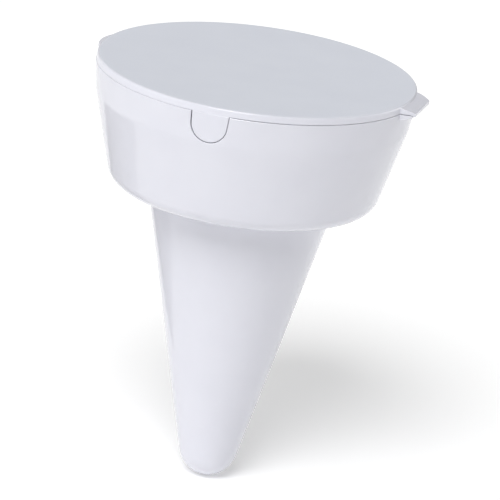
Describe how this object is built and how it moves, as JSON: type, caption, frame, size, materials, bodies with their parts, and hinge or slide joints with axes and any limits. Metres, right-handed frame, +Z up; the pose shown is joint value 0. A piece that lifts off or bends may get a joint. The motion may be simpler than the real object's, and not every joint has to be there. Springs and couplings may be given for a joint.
{
  "type": "lidded cone cup on a sand spike",
  "caption": "Round cup on a hollow cone spike that stands in sand, with a flat hinged lid, thumb tab, and round tongues on the lid that close rest notches in the wall.",
  "frame": {"origin": "tip of the spike, on its axis", "axes": "+Z up the spike's axis to the lid, +X towards the thumb tab, -X towards the hinge, tongues at -Y and +Y"},
  "size_m": [0.0882, 0.0846, 0.1135],
  "materials": {
    "cup_plastic": "smooth white moulded polypropylene",
    "lid_plastic": "white moulded polypropylene with a finely textured flat top",
    "pin_steel": "plain drawn wire"
  },
  "bodies": {
    "cup": {"cone_cup": "cup_plastic", "hinge_pin": "pin_steel"},
    "lid": {"lid": "lid_plastic"}
  },
  "joints": [
    {"name": "lid_hinge", "type": "hinge", "parent": "cup", "child": "lid", "pos_m": [-0.0408, 0, 0.11], "axis": [0, -1, 0], "range_deg": [0, 110]}
  ]
}
